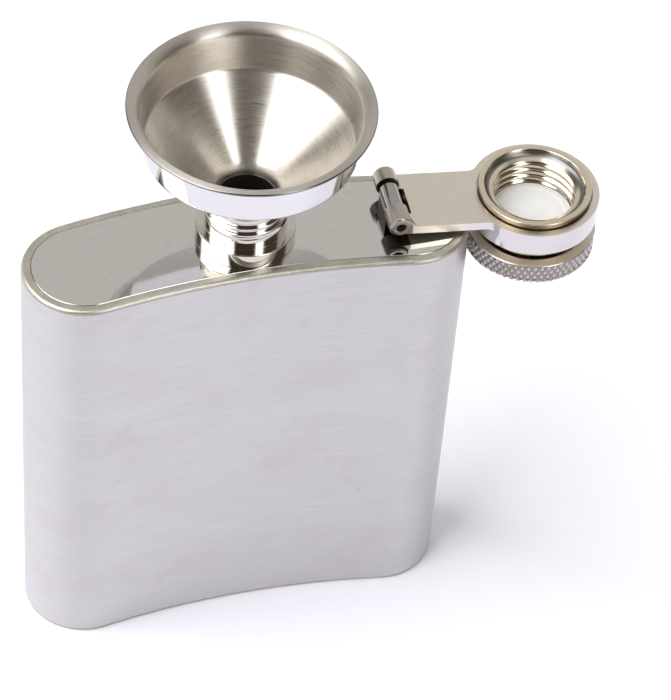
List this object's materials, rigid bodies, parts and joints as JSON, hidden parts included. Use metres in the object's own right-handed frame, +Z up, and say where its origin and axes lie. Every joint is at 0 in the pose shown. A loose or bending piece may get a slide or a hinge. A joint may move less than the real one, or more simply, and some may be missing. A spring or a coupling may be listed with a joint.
{
  "type": "hip flask",
  "caption": "Curved stainless hip flask with a threaded neck, a captive knurled screw cap on a hinged arm, and a loose filling funnel.",
  "frame": {"origin": "middle of the base, on the plane the flask stands on", "axes": "+Z up along the flask; +X towards the hinge end; -Y is the hollow front, +Y the round back"},
  "size_m": [0.1, 0.041, 0.1143],
  "materials": {
    "body_brushed": "satin, fine grain round the body",
    "plate_buffed": "buffed, hazy mirror",
    "weld_ground": "ground and rounded by hand",
    "neck_polished": "bright polished",
    "bracket_polished": "polished",
    "arm_satin": "warm satin",
    "pin_steel": "plain drawn",
    "liner_white": "white soft plastic",
    "cup_polished": "turned and polished, warm",
    "knob_knurled": "diamond knurled edge",
    "funnel_spun": "brushed inside, bright outside",
    "spout_drawn": "plain drawn tube"
  },
  "bodies": {
    "flask": {"body_wrap": "body_brushed", "top_plate": "plate_buffed", "base_plate": "plate_buffed", "top_rim_weld": "weld_ground", "base_rim_weld": "weld_ground", "threaded_neck": "neck_polished", "hinge_bracket": "bracket_polished"},
    "arm": {"cap_arm": "arm_satin", "hinge_pin": "pin_steel"},
    "cap_seat": {"cap_liner": "liner_white"},
    "cap": {"cap_thread_cup": "cup_polished", "cap_knob": "knob_knurled"},
    "funnel": {"funnel_bowl": "funnel_spun", "funnel_spout": "spout_drawn"}
  },
  "joints": [
    {"name": "cap_hinge", "type": "hinge", "parent": "flask", "child": "arm", "pos_m": [0.02513, 0.001, 0.0888], "axis": [-0.0438, -0.999, 0], "range_deg": [0, 162]},
    {"name": "cap_float", "type": "slide", "parent": "arm", "child": "cap_seat", "axis": [0, 0, 1], "range_m": [0, 0.0026]},
    {"name": "cap_spin", "type": "hinge", "parent": "cap_seat", "child": "cap", "pos_m": [0.05025, -0.0001, 0.0871], "axis": [0, 0, 1], "continuous": true},
    {"name": "funnel_lift", "type": "slide", "parent": "flask", "child": "funnel", "axis": [0, 0, 1], "range_m": [0, 0.0905]}
  ],
  "couplings": [
    {"joint": "funnel_lift", "follows": "cap_hinge", "m_per_rad": 0.03183}
  ]
}
